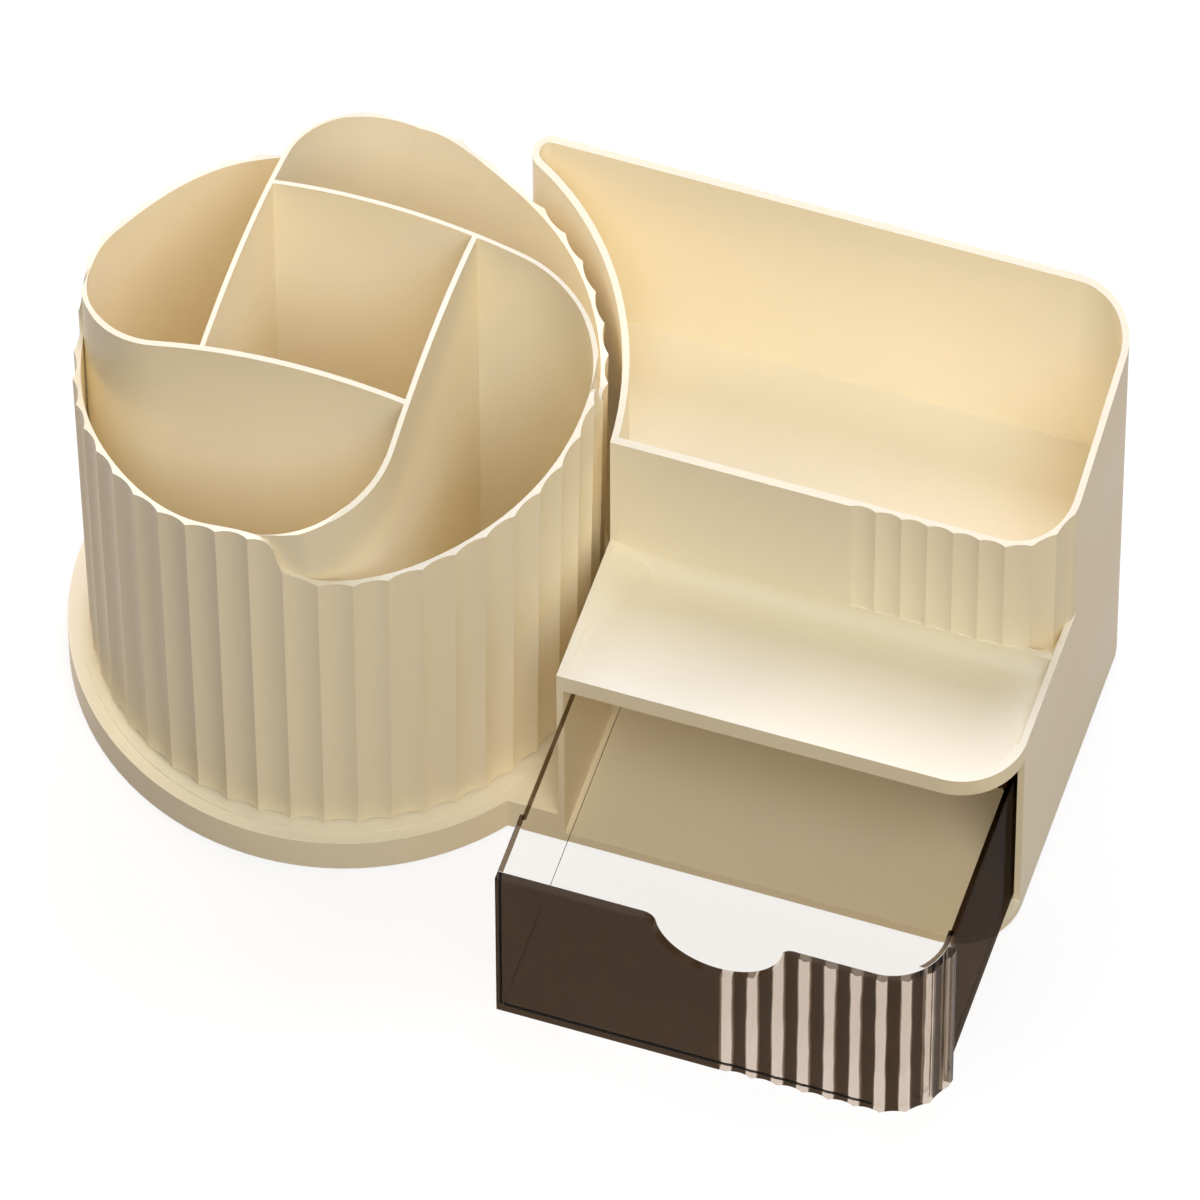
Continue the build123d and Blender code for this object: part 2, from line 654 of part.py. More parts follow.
# Drawer
def scoop_cutter():
    """Finger scoop in the panel's top edge, with rounded shoulders, drawn as X and Z."""
    reach = SCOOP_RADIUS + SCOOP_SHOULDER
    side = sqrt(reach ** 2 - SCOOP_SHOULDER ** 2)
    fall = degrees(atan2(SCOOP_SHOULDER, side))
    centre = (BOX_MIDDLE, PANEL_TOP)
    left = (BOX_MIDDLE - side, PANEL_TOP - SCOOP_SHOULDER)
    right = (BOX_MIDDLE + side, PANEL_TOP - SCOOP_SHOULDER)
    above = PANEL_TOP + SCOOP_SHOULDER
    edges = [
        arc(left, SCOOP_SHOULDER, 90, fall),
        arc(centre, SCOOP_RADIUS, 180 + fall, 360 - fall),
        arc(right, SCOOP_SHOULDER, 180 - fall, 90),
        Polyline((right[0], PANEL_TOP), (right[0], above), (left[0], above), (left[0], PANEL_TOP)),
    ]
    return extrude(Plane.XZ * make_face(edges), BIG, both=True)


def tray_plan(inset=0.0):
    """Plan of the tray, shut, with its two right corners rounded like the box's."""
    left = ARC_INNER + DRAWER_GAP + inset
    right = BOX_RIGHT - PANEL_WALL - inset
    front = BOX_FRONT + PANEL_WALL + inset
    back = TRAY_BACK - inset
    corner = BOX_CORNER - PANEL_WALL - inset
    centre_x = BOX_RIGHT - BOX_CORNER
    front_y = BOX_FRONT + BOX_CORNER
    back_y = TRAY_BACK - BOX_CORNER + PANEL_WALL
    edges = [
        Polyline((centre_x, front), (left, front), (left, back), (centre_x, back)),
        arc((centre_x, back_y), corner, 90, 0),
        Line((right, back_y), (right, front_y)),
        arc((centre_x, front_y), corner, 0, -90),
    ]
    return make_face(edges)


def tray_walls_plan():
    """Plan of the tray's side and back walls, open behind the panel."""
    ring = tray_plan() - tray_plan(TRAY_WALL)
    grip = BOX_FRONT + BOX_CORNER - CURVE_GRIP
    return ring - rectangle(ARC_INNER + DRAWER_GAP + TRAY_WALL, BIG, -BIG, grip)


def drawer_front():
    """Fluted drawer panel with the finger scoop and the right return."""
    left = ARC_INNER + DRAWER_GAP
    plan = fluted_front(left, BOX_FRONT, BOX_CORNER, PANEL_WALL)
    panel = prism(plan, DRAWER_BOTTOM, PANEL_TOP) - scoop_cutter()
    panel -= block(0, BIG, BOX_FRONT + PANEL_RETURN, BIG, -BIG, BIG)
    return Pos(0, -DRAWER_OPEN, 0) * panel


def drawer_tray():
    """Side and back walls of the drawer, higher next to the panel, with the stop tab on the back."""
    walls = prism(tray_walls_plan(), DRAWER_BOTTOM, PANEL_TOP)
    walls -= block(0, BIG, BOX_FRONT + TRAY_SHOULDER, BIG, TRAY_TOP, BIG)
    tab = block(BOX_MIDDLE - STOP_TAB_HALF, BOX_MIDDLE + STOP_TAB_HALF,
                TRAY_BACK - TRAY_WALL, TRAY_BACK, TRAY_TOP, TRAY_TOP + STOP_TAB_HEIGHT)
    return Pos(0, -DRAWER_OPEN, 0) * (walls + tab)


def drawer_floor():
    """Clear sheet between the drawer's walls."""
    plan = tray_plan() - tray_walls_plan()
    return Pos(0, -DRAWER_OPEN, 0) * prism(plan, DRAWER_BOTTOM, DRAWER_BOTTOM + TRAY_FLOOR)


def all_parts():
    """Every node's name with its solid."""
    parts = {
        "base_moulding": base_moulding(),
        "body_shell": body_shell(),
        "shelf_deck": shelf_deck(),
        "shell_screws": shell_screws(),
        "cup_shell": cup_shell(),
        "cup_divider": cup_divider(),
        "turntable_plate": turntable_plate(),
        "turntable_screws": turntable_screws(),
        "pivot_washer": pivot_washer(),
        "pivot_screw": pivot_screw(),
        "ball_cage": ball_cage(),
        "bearing_balls": bearing_balls(),
        "drawer_front": drawer_front(),
        "drawer_tray": drawer_tray(),
        "drawer_floor": drawer_floor(),
        "foot_centre": rubber_pad((0, 0), CENTRE_PAD_RADIUS),
    }
    for index, centre in enumerate(pad_centres_disc()):
        parts["foot_disc_%d" % (index + 1)] = rubber_pad(centre, PAD_RADIUS)
    for index, centre in enumerate(pad_centres_box()):
        parts["foot_box_%d" % (index + 1)] = rubber_pad(centre, PAD_RADIUS)
    return parts


os.makedirs("parts", exist_ok=True)
for name, solid in all_parts().items():
    export_step(solid, "parts/" + name + ".step")
    print(name, "volume", round(solid.volume), "mm3, solids", len(solid.solids()))
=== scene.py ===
"""Looks of the makeup organizer: finishes, softened edges, light, floor and camera."""

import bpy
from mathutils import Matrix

bl_info = {
    "name": "Makeup organizer looks",
    "version": (1, 0, 0),
    "blender": (4, 5, 0),
    "location": "3D View > Sidebar > Organizer",
    "description": "Gives the organizer's pieces their finishes and sets up the studio",
    "category": "Material",
}

import math

import bpy
from mathutils import Matrix, Vector

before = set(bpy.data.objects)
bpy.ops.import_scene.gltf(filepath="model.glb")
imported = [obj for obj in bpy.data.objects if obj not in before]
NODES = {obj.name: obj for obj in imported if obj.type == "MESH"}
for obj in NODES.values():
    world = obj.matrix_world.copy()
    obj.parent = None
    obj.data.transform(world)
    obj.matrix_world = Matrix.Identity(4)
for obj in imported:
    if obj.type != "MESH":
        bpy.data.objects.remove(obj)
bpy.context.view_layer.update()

# Node names by finish
CREAM_NODES = ("base_moulding", "body_shell", "shelf_deck", "cup_shell", "cup_divider")
SCREW_NODES = ("shell_screws", "turntable_screws", "pivot_screw", "pivot_washer")
PAD_NODES = tuple(sorted(name for name in NODES if name.startswith("foot_")))

# Camera, fitted to the box's edges in the photograph; metres and degrees, and the lens
# and the sensor in millimetres
CAMERA_TARGET = Vector((0.053468, 0.029134, 0.0))
CAMERA_AZIMUTH = 18.244
CAMERA_ELEVATION = 55.401
CAMERA_ROLL = -0.179
CAMERA_DISTANCE = 4.01984
CAMERA_LENS = 508.04
CAMERA_REACH = 100.0
SENSOR_WIDTH = 36.0

# Lamps: all the same soft square, at one distance; metres
LAMP_TARGET = Vector((0.05, 0.0, 0.05))
LAMP_DISTANCE = 2.1
LAMP_SIZE = 1.2

# Each lamp's azimuth, from the front towards the right, and its elevation, in degrees,
# and its tint
KEY_LAMP = (30, 52, (0.85, 0.93, 1.0))
BACK_LAMP = (180, 60, (0.71, 0.775, 1.0))
LEFT_LAMP = (240, 35, (1.0, 0.87, 0.7))
SIDE_LAMP = (48, 20, (1.0, 0.72, 0.25))

# Tint of the light all round
SKY_COLOUR = (1.0, 0.75, 0.45, 1.0)

# Floor: half its side in metres, its gloss, the shares of its red, green and blue that
# light the object from below, and the glow that makes it white to the eye
FLOOR_REACH = 12.0
FLOOR_ROUGHNESS = 0.9
FLOOR_SPECULAR = 0.1
FLOOR_BOUNCE = (1.0, 0.7, 0.4)
FLOOR_GLOW = 0.8

# Bounces between matt surfaces: enough to light the deep compartments
DIFFUSE_BOUNCES = 12

# Moulded plastic: its gloss, and its mottle and grain, with scales per metre
PLASTIC_IOR = 1.49
PLASTIC_SPECULAR = 0.4
MOTTLE_SCALE = 28.0
GRAIN_SCALE = 1600.0
ROUGHNESS_SPREAD = 0.12

# Steel: its mottle and its turning marks
STEEL_MOTTLE = 0.08
STEEL_MOTTLE_SCALE = 300.0
STEEL_GRAIN_SCALE = 4000.0
STEEL_ROUGHNESS_SPREAD = 0.1
STEEL_GRAIN_HEIGHT = 0.00001

# Colours of the hidden pieces
GREY_PLASTIC = (0.34, 0.32, 0.28)
WHITE_PLASTIC = (0.8, 0.8, 0.76)
PAD_RUBBER = (0.45, 0.41, 0.34)
SCREW_STEEL = (0.5, 0.5, 0.51)
BALL_STEEL = (0.55, 0.55, 0.57)

# Painted highlight on upward-facing edges, a paler colour that stands in for light caught
# by the rims: how far it reaches in metres, how strong and how patchy it is, the samples
# it is found with, how much of the colour's depth it leaves, and between which upward
# parts of a face's direction it comes in
EDGE_REACH = 0.0006
EDGE_GAIN = 3.0
EDGE_BREAK_UP = 160.0
EDGE_SAMPLES = 4
EDGE_FADE = 0.45
EDGE_LEVELS = (0.05, 0.35)

# Rounding and shading of edges; metres and degrees
WELD_DISTANCE = 0.000002
ROUNDED_ANGLE = 35.0
ROUNDED_SEGMENTS = 2
SHARP_ANGLE = 50.0
FLAT_WEIGHT = 50

# Flutes of the drawer's front: where they start, their pitch, and the panel's corner
FLUTE_START = 0.1235
FLUTE_PITCH = 0.00624
PANEL_CORNER = 0.016
PANEL_FRONT = -0.0913
PANEL_RIGHT = 0.1746

# Painted reflection: pale stripes along the flutes that stand in for light reflected in
# them; in parts of a flute: where the first is cut off, their middle, how far from it they
# have faded and are full, and how much their sides wobble
STRIPE_FIRST = -0.25
STRIPE_MIDDLE = 0.47
STRIPE_FADED = 0.245
STRIPE_FULL = 0.195
STRIPE_WOBBLE = 0.12
STRIPE_WOBBLE_SCALE = 70.0

# The drawer's walls: painted shade, the smoke growing from clear on the left to dark on the
# right, and coming in behind the panel
PAINTED_SHADE_LEFT = 0.075
PAINTED_SHADE_RIGHT = 0.165
PAINTED_SHADE_NEAR = PANEL_FRONT + 0.013
PAINTED_SHADE_FAR = PANEL_FRONT + 0.021

# The drawer's top edges, painted dark as shade on the tray and with a faint painted
# highlight on the panel: the height they lie above, how far up they face, and how much of
# the painted reflection's colour the panel's has
RIM_FLOOR = 0.045
RIM_FACING = 0.8
RIM_PAINTED_HIGHLIGHT = 0.08

# See-through plastic: smears in its gloss, and the tint of the light it lets through
SMEAR_SCALE = 60.0
SMEAR_ROUGHNESS = 0.06
PASSING_LIGHT = (1.0, 0.97, 0.92)


class OrganizerFinish(bpy.types.PropertyGroup):
    """Colours and surface values of the organizer's materials."""

    cream: bpy.props.FloatVectorProperty(
        name="Cream", description="Colour of the opaque mouldings", subtype="COLOR",
        size=3, min=0, max=1, default=(0.975, 0.905, 0.73))
    cream_roughness: bpy.props.FloatProperty(
        name="Cream roughness", description="How satin the mouldings are",
        subtype="FACTOR", min=0, max=1, default=0.42)
    # The drawer front's own smoky tint, also used as painted shade on the tray's walls
    smoke_and_painted_shade: bpy.props.FloatVectorProperty(
        name="Smoke", description="Tint of the drawer's walls", subtype="COLOR",
        size=3, min=0, max=1, default=(0.055, 0.032, 0.016))
    clear: bpy.props.FloatVectorProperty(
        name="Clear", description="Tint of the drawer's clear parts", subtype="COLOR",
        size=3, min=0, max=1, default=(0.96, 0.95, 0.94))
    # Colour of the painted reflection on the panel's flutes
    painted_reflection_tint: bpy.props.FloatVectorProperty(
        name="Stripe", description="Tint of the panel's pale stripes", subtype="COLOR",
        size=3, min=0, max=1, default=(0.66, 0.56, 0.48))
    edge_softness: bpy.props.FloatProperty(
        name="Edge softness", description="Width of the rounding along the edges",
        subtype="DISTANCE", unit="LENGTH", min=0, default=0.0003)


class OrganizerStudio(bpy.types.PropertyGroup):
    """Light levels and floor of the studio."""

    key_strength: bpy.props.FloatProperty(
        name="Key light", description="Power of the soft lamp in front, on the right",
        unit="POWER", min=0, default=20.0)
    back_strength: bpy.props.FloatProperty(
        name="Back light", description="Power of the soft lamp above and behind",
        unit="POWER", min=0, default=28.0)
    left_strength: bpy.props.FloatProperty(
        name="Left light", description="Power of the soft lamp behind, on the left",
        unit="POWER", min=0, default=23.0)
    side_strength: bpy.props.FloatProperty(
        name="Side light", description="Power of the low lamp on the right",
        unit="POWER", min=0, default=7.2)
    sky_strength: bpy.props.FloatProperty(
        name="Sky", description="Strength of the light all round", min=0, default=0.14)
    floor_colour: bpy.props.FloatVectorProperty(
        name="Floor", description="Colour of the floor", subtype="COLOR",
        size=3, min=0, max=1, default=(0.25, 0.25, 0.25))


# Node groups
def new_group(name, inputs, outputs):
    """Shader node group with float or colour sockets; returns it with its ends."""
    group = bpy.data.node_groups.new(name, "ShaderNodeTree")
    for label, kind, value in inputs:
        socket = group.interface.new_socket(name=label, in_out="INPUT", socket_type=kind)
        socket.default_value = value
    for label, kind in outputs:
        group.interface.new_socket(name=label, in_out="OUTPUT", socket_type=kind)
    source = group.nodes.new("NodeGroupInput")
    result = group.nodes.new("NodeGroupOutput")
    source.location = (-900, 0)
    result.location = (700, 0)
    return group, source, result


def add_math(tree, operation, first, second, location=(0, 0)):
    """Math node; each side is a number, a socket or None."""
    node = tree.nodes.new("ShaderNodeMath")
    node.operation = operation
    node.location = location
    for index, value in enumerate((first, second)):
        if isinstance(value, bpy.types.NodeSocket):
            tree.links.new(value, node.inputs[index])
        elif value is not None:
            node.inputs[index].default_value = value
    return node.outputs[0]


def add_noise(tree, coordinates, scale, detail, location=(0, 0)):
    """Noise texture on the piece's own coordinates."""
    node = tree.nodes.new("ShaderNodeTexNoise")
    node.location = location
    tree.links.new(coordinates, node.inputs["Vector"])
    node.inputs["Detail"].default_value = detail
    if isinstance(scale, bpy.types.NodeSocket):
        tree.links.new(scale, node.inputs["Scale"])
    else:
        node.inputs["Scale"].default_value = scale
    return node.outputs["Fac"]


def add_mix(tree, factor, low, high):
    """Colour mix by a socket; each side is a socket or a colour."""
    node = tree.nodes.new("ShaderNodeMix")
    node.data_type = "RGBA"
    tree.links.new(factor, node.inputs[0])
    for socket, value in ((node.inputs[6], low), (node.inputs[7], high)):
        if isinstance(value, bpy.types.NodeSocket):
            tree.links.new(value, socket)
        else:
            socket.default_value = (*value, 1.0)
    return node.outputs[2]


def add_ramp(tree, value, start, end):
    """Smooth rise from 0 at the start to 1 at the end, which may be the lower one."""
    ramp = tree.nodes.new("ShaderNodeMapRange")
    ramp.interpolation_type = "SMOOTHSTEP"
    ramp.inputs["From Min"].default_value = start
    ramp.inputs["From Max"].default_value = end
    tree.links.new(value, ramp.inputs["Value"])
    return ramp.outputs["Result"]


def moulded_group():
    """Moulded plastic: faint mottle in the colour, uneven gloss, fine grain."""
    group, source, result = new_group(
        "Moulded surface",
        [("Colour", "NodeSocketColor", (0.8, 0.8, 0.8, 1)),
         ("Mottle", "NodeSocketFloat", 0.05),
         ("Mottle scale", "NodeSocketFloat", MOTTLE_SCALE),
         ("Roughness", "NodeSocketFloat", 0.4),
         ("Roughness spread", "NodeSocketFloat", ROUGHNESS_SPREAD),
         ("Grain scale", "NodeSocketFloat", GRAIN_SCALE)],
        [("Colour", "NodeSocketColor"), ("Roughness", "NodeSocketFloat"),
         ("Height", "NodeSocketFloat")])
    place = group.nodes.new("ShaderNodeTexCoord").outputs["Object"]
    broad = add_noise(group, place, source.outputs["Mottle scale"], 3.0, (-600, 200))
    grain = add_noise(group, place, source.outputs["Grain scale"], 2.0, (-600, -200))
    shift = add_math(group, "SUBTRACT", broad, 0.5, (-400, 200))
    shift = add_math(group, "MULTIPLY", shift, source.outputs["Mottle"], (-250, 200))
    level = add_math(group, "ADD", shift, 1.0, (-100, 200))
    scaled = group.nodes.new("ShaderNodeVectorMath")
    scaled.operation = "SCALE"
    group.links.new(source.outputs["Colour"], scaled.inputs[0])
    group.links.new(level, scaled.inputs["Scale"])
    group.links.new(scaled.outputs[0], result.inputs["Colour"])
    uneven = add_math(group, "SUBTRACT", broad, 0.5, (-400, 0))
    spread = source.outputs["Roughness spread"]
    uneven = add_math(group, "MULTIPLY", uneven, spread, (-250, 0))
    rough = add_math(group, "ADD", source.outputs["Roughness"], uneven, (-100, 0))
    group.links.new(rough, result.inputs["Roughness"])
    group.links.new(grain, result.inputs["Height"])
    return group


def painted_edge_highlight_group():
    """Mask of the piece's upper edges, patchy, where a painted highlight makes them paler.
    """
    group, source, result = new_group(
        "Painted edge highlight",
        [("Gain", "NodeSocketFloat", EDGE_GAIN),
         ("Break up", "NodeSocketFloat", EDGE_BREAK_UP)],
        [("Mask", "NodeSocketFloat")])
    bevel = group.nodes.new("ShaderNodeBevel")
    bevel.samples = EDGE_SAMPLES
    bevel.inputs["Radius"].default_value = EDGE_REACH
    geometry = group.nodes.new("ShaderNodeNewGeometry")
    dot = group.nodes.new("ShaderNodeVectorMath")
    dot.operation = "DOT_PRODUCT"
    group.links.new(bevel.outputs[0], dot.inputs[0])
    group.links.new(geometry.outputs["Normal"], dot.inputs[1])
    away = add_math(group, "SUBTRACT", 1.0, dot.outputs["Value"], (-200, 0))
    place = group.nodes.new("ShaderNodeTexCoord").outputs["Object"]
    patchy = add_noise(group, place, source.outputs["Break up"], 3.0, (-400, -200))
    mask = add_math(group, "MULTIPLY", away, source.outputs["Gain"], (0, 0))
    mask = add_math(group, "MULTIPLY", mask, patchy, (150, 0))
    facing = group.nodes.new("ShaderNodeSeparateXYZ")
    group.links.new(geometry.outputs["Normal"], facing.inputs[0])
    upward = add_ramp(group, facing.outputs["Z"], *EDGE_LEVELS)
    mask = add_math(group, "MULTIPLY", mask, upward, (300, -150))
    clamp = group.nodes.new("ShaderNodeClamp")
    group.links.new(mask, clamp.inputs["Value"])
    group.links.new(clamp.outputs[0], result.inputs["Mask"])
    return group


def shared_group(name, maker):
    """The group of that name, made the first time it is asked for."""
    return bpy.data.node_groups.get(name) or maker()


# Materials
def new_material(name):
    """New node material; returns it with its tree and its shader."""
    material = bpy.data.materials.new(name)
    material.use_nodes = True
    tree = material.node_tree
    shader = tree.nodes["Principled BSDF"]
    shader.location = (300, 0)
    return material, tree, shader


def place_group(tree, group, values, location=(-300, 0)):
    """Puts a group in a material with its own values."""
    node = tree.nodes.new("ShaderNodeGroup")
    node.node_tree = group
    node.location = location
    for label, value in values.items():
        node.inputs[label].default_value = value
    return node


def add_bump(tree, shader, height, distance):
    """Bump node from a height to the shader's normal."""
    bump = tree.nodes.new("ShaderNodeBump")
    bump.inputs["Distance"].default_value = distance
    tree.links.new(height, bump.inputs["Height"])
    tree.links.new(bump.outputs["Normal"], shader.inputs["Normal"])


def moulded_plastic(name, colour, roughness, mottle, grain_height):
    """Opaque moulded plastic with a painted highlight on its upper edges."""
    material, tree, shader = new_material(name)
    surface = place_group(tree, shared_group("Moulded surface", moulded_group), {
        "Colour": (*colour, 1.0), "Mottle": mottle, "Mottle scale": MOTTLE_SCALE,
        "Roughness": roughness, "Roughness spread": ROUGHNESS_SPREAD,
        "Grain scale": GRAIN_SCALE})
    edges = place_group(tree, shared_group("Painted edge highlight", painted_edge_highlight_group),
                        {"Gain": EDGE_GAIN, "Break up": EDGE_BREAK_UP}, (-300, -300))
    # Paler colour on the upward edges: a painted highlight
    highlight_colour = tuple(1.0 - (1.0 - value) * EDGE_FADE for value in colour)
    highlighted_colour = add_mix(tree, edges.outputs["Mask"], surface.outputs["Colour"], highlight_colour)
    tree.links.new(highlighted_colour, shader.inputs["Base Color"])
    tree.links.new(surface.outputs["Roughness"], shader.inputs["Roughness"])
    shader.inputs["IOR"].default_value = PLASTIC_IOR
    shader.inputs["Specular IOR Level"].default_value = PLASTIC_SPECULAR
    add_bump(tree, shader, surface.outputs["Height"], grain_height)
    return material


def top_faces(tree, height):
    """Mask of the faces that look up, above a height, such as a wall's top edge."""
    geometry = tree.nodes.new("ShaderNodeNewGeometry")
    facing = tree.nodes.new("ShaderNodeSeparateXYZ")
    tree.links.new(geometry.outputs["Normal"], facing.inputs[0])
    level = add_math(tree, "GREATER_THAN", facing.outputs["Z"], RIM_FACING)
    high = add_math(tree, "GREATER_THAN", height, RIM_FLOOR)
    return add_math(tree, "MULTIPLY", level, high)


def painted_reflection_stripes(tree, place):
    """Mask of the painted reflection: pale stripes along the ridges between the panel's
    flutes.
    """
    axes = tree.nodes.new("ShaderNodeSeparateXYZ")
    tree.links.new(place, axes.inputs[0])
    corner_x = PANEL_RIGHT - PANEL_CORNER
    corner_y = PANEL_FRONT + PANEL_CORNER
    past = add_math(tree, "SUBTRACT", axes.outputs["X"], corner_x)
    past = add_math(tree, "MAXIMUM", past, 0.0)
    below = add_math(tree, "SUBTRACT", corner_y, axes.outputs["Y"])
    turn = add_math(tree, "ARCTAN2", past, below)
    round_part = add_math(tree, "MULTIPLY", turn, PANEL_CORNER)
    flat_part = add_math(tree, "MINIMUM", axes.outputs["X"], corner_x)
    along = add_math(tree, "ADD", flat_part, round_part)
    along = add_math(tree, "SUBTRACT", along, FLUTE_START)
    wobble = add_noise(tree, place, STRIPE_WOBBLE_SCALE, 2.0)
    wobble = add_math(tree, "SUBTRACT", wobble, 0.5)
    wobble = add_math(tree, "MULTIPLY", wobble, STRIPE_WOBBLE)
    phase = add_math(tree, "DIVIDE", along, FLUTE_PITCH)
    inside = add_math(tree, "GREATER_THAN", phase, STRIPE_FIRST)
    phase = add_math(tree, "FRACT", add_math(tree, "ADD", phase, 0.5), None)
    near = add_math(tree, "SUBTRACT", phase, STRIPE_MIDDLE)
    near = add_math(tree, "ABSOLUTE", near, None)
    near = add_math(tree, "ADD", near, wobble)
    reflection_stripes = add_ramp(tree, near, STRIPE_FADED, STRIPE_FULL)
    reflection_stripes = add_math(tree, "MULTIPLY", reflection_stripes, inside)
    top = top_faces(tree, axes.outputs["Z"])
    below_top = add_math(tree, "SUBTRACT", 1.0, top)
    reflection_stripes = add_math(tree, "MULTIPLY", reflection_stripes, below_top)
    # Panel's top edges: a faint painted highlight instead of the stripes
    return add_math(tree, "ADD", reflection_stripes, add_math(tree, "MULTIPLY", top, RIM_PAINTED_HIGHLIGHT))


def painted_shade_ramp(tree, place):
    """Mask of painted shade that grows from the drawer's left wall to its right one, and on
    top edges.
    """
    axes = tree.nodes.new("ShaderNodeSeparateXYZ")
    tree.links.new(place, axes.inputs[0])
    across = add_ramp(tree, axes.outputs["X"], PAINTED_SHADE_LEFT, PAINTED_SHADE_RIGHT)
    behind = add_ramp(tree, axes.outputs["Y"], PAINTED_SHADE_NEAR, PAINTED_SHADE_FAR)
    side = add_math(tree, "MULTIPLY", across, behind)
    # Tray's top edges: fully smoke, a painted dark line of shade
    return add_math(tree, "MAXIMUM", side, top_faces(tree, axes.outputs["Z"]))


def see_through_plastic(name, colour, light_through, bending, mask=None, masked=None):
    """Polished see-through plastic, in a second colour where its mask says.

    Light for shadows and matt surfaces goes straight through, so the inside stays lit.
    """
    material, tree, shader = new_material(name)
    place = tree.nodes.new("ShaderNodeTexCoord").outputs["Object"]
    smears = add_noise(tree, place, SMEAR_SCALE, 4.0, (-600, -200))
    rough = add_math(tree, "MULTIPLY", smears, SMEAR_ROUGHNESS, (-400, -200))
    tree.links.new(rough, shader.inputs["Roughness"])
    if mask:
        mixed = add_mix(tree, mask(tree, place), colour, masked)
        tree.links.new(mixed, shader.inputs["Base Color"])
    else:
        shader.inputs["Base Color"].default_value = (*colour, 1.0)
    shader.inputs["IOR"].default_value = bending
    shader.inputs["Transmission Weight"].default_value = 1.0
    ray = tree.nodes.new("ShaderNodeLightPath").outputs
    lit = add_math(tree, "MAXIMUM", ray["Is Shadow Ray"], ray["Is Diffuse Ray"])
    passing = tree.nodes.new("ShaderNodeBsdfTransparent")
    levels = [level * light_through for level in PASSING_LIGHT]
    passing.inputs["Color"].default_value = (*levels, 1.0)
    either = tree.nodes.new("ShaderNodeMixShader")
    tree.links.new(lit, either.inputs[0])
    tree.links.new(shader.outputs[0], either.inputs[1])
    tree.links.new(passing.outputs[0], either.inputs[2])
    tree.links.new(either.outputs[0], tree.nodes["Material Output"].inputs["Surface"])
    return material


def steel(name, colour, roughness):
    """Plated steel with fine turning marks."""
    material, tree, shader = new_material(name)
    surface = place_group(tree, shared_group("Moulded surface", moulded_group), {
        "Colour": (*colour, 1.0), "Mottle": STEEL_MOTTLE,
        "Mottle scale": STEEL_MOTTLE_SCALE, "Roughness": roughness,
        "Roughness spread": STEEL_ROUGHNESS_SPREAD, "Grain scale": STEEL_GRAIN_SCALE})
    tree.links.new(surface.outputs["Colour"], shader.inputs["Base Color"])
    tree.links.new(surface.outputs["Roughness"], shader.inputs["Roughness"])
    shader.inputs["Metallic"].default_value = 1.0
    add_bump(tree, shader, surface.outputs["Height"], STEEL_GRAIN_HEIGHT)
    return material


# Edges
def smoothing_group():
    """Geometry group that shades smooth and keeps edges over an angle sharp."""
    group = bpy.data.node_groups.new("Smooth by angle", "GeometryNodeTree")
    for end in ("INPUT", "OUTPUT"):
        group.interface.new_socket(name="Geometry", in_out=end,
                                   socket_type="NodeSocketGeometry")
    source = group.nodes.new("NodeGroupInput")
    result = group.nodes.new("NodeGroupOutput")
    angle = group.nodes.new("GeometryNodeInputMeshEdgeAngle")
    sharp = group.nodes.new("FunctionNodeCompare")
    sharp.data_type = "FLOAT"
    sharp.operation = "GREATER_THAN"
    sharp.inputs[1].default_value = math.radians(SHARP_ANGLE)
    group.links.new(angle.outputs["Unsigned Angle"], sharp.inputs[0])
    smooth = group.nodes.new("GeometryNodeSetShadeSmooth")
    smooth.domain = "FACE"
    edges = group.nodes.new("GeometryNodeSetShadeSmooth")
    edges.domain = "EDGE"
    edges.inputs["Shade Smooth"].default_value = False
    group.links.new(source.outputs[0], smooth.inputs[0])
    group.links.new(smooth.outputs[0], edges.inputs[0])
    group.links.new(sharp.outputs["Result"], edges.inputs["Selection"])
    group.links.new(edges.outputs[0], result.inputs[0])
    return group


def soften(node, width):
    """Joins the node's split corners, rounds its sharp edges and shades it smooth."""
    weld = node.modifiers.new("Join corners", "WELD")
    weld.merge_threshold = WELD_DISTANCE
    bevel = node.modifiers.new("Round edges", "BEVEL")
    bevel.width = width
    bevel.segments = ROUNDED_SEGMENTS
    bevel.limit_method = "ANGLE"
    bevel.angle_limit = math.radians(ROUNDED_ANGLE)
    bevel.use_clamp_overlap = True
    bevel.miter_outer = "MITER_ARC"
    smooth = node.modifiers.new("Smooth shading", "NODES")
    smooth.node_group = shared_group("Smooth by angle", smoothing_group)
    flat = node.modifiers.new("Keep flats flat", "WEIGHTED_NORMAL")
    flat.mode = "FACE_AREA"
    flat.weight = FLAT_WEIGHT
    flat.keep_sharp = True


def dress(names, material, width):
    """Gives nodes one material, and edges rounded to that width."""
    for name in names:
        node = NODES[name]
        node.data.materials.clear()
        node.data.materials.append(material)
        soften(node, width)


class ORGANIZER_OT_mouldings(bpy.types.Operator):
    """Finish the cream mouldings: base, walls, shelf, cup and divider"""

    bl_idname = "organizer.mouldings"
    bl_label = "Cream mouldings"

    def execute(self, context):
        finish = context.scene.organizer_finish
        cream = moulded_plastic("Cream plastic", tuple(finish.cream),
                                finish.cream_roughness, mottle=0.05, grain_height=0.00001)
        dress(CREAM_NODES, cream, finish.edge_softness)
        return {"FINISHED"}


